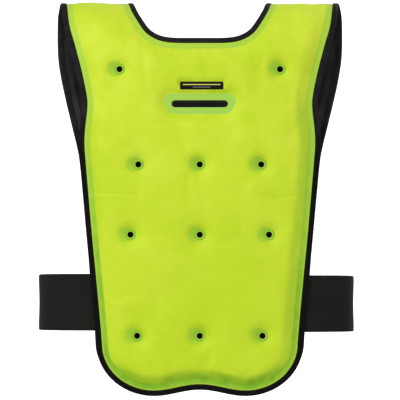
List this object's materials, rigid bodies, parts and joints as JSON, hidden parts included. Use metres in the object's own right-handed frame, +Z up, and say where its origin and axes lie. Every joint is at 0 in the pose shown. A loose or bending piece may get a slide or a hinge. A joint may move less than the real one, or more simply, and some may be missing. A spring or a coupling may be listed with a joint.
{
  "type": "cooling vest",
  "caption": "Sleeveless pullover vest with quilted lime cooling panels at the chest and back, black bound edges, a black lining and wide elastic side bands.",
  "frame": {"origin": "the middle of the crest of the shoulders, on the inner face of the cloth, where the vest hangs on its wearer", "axes": "+Z up, -Y out of the back panel, which is the side in the picture, +Y out of the front panel, +X to the right of whoever faces the back panel"},
  "size_m": [0.5062, 0.1957, 0.6318],
  "materials": {
    "lime_film": "coated high-visibility lime cloth with a fine weave and a soft satin sheen, welded to a darker green at the seams",
    "black_knit": "matte black knit lining",
    "black_tape": "black woven fold-over binding tape, stitched near its edge",
    "black_elastic": "black knitted elastic with fine ribs",
    "black_print": "flat black bonded tag, matte"
  },
  "bodies": {
    "root": {"back_chamber": "lime_film", "front_chamber": "lime_film", "back_lining": "black_knit", "front_lining": "black_knit", "back_binding": "black_tape", "front_binding": "black_tape", "neck_binding": "black_tape", "side_band_left": "black_elastic", "side_band_right": "black_elastic", "label": "black_print"}
  },
  "joints": []
}
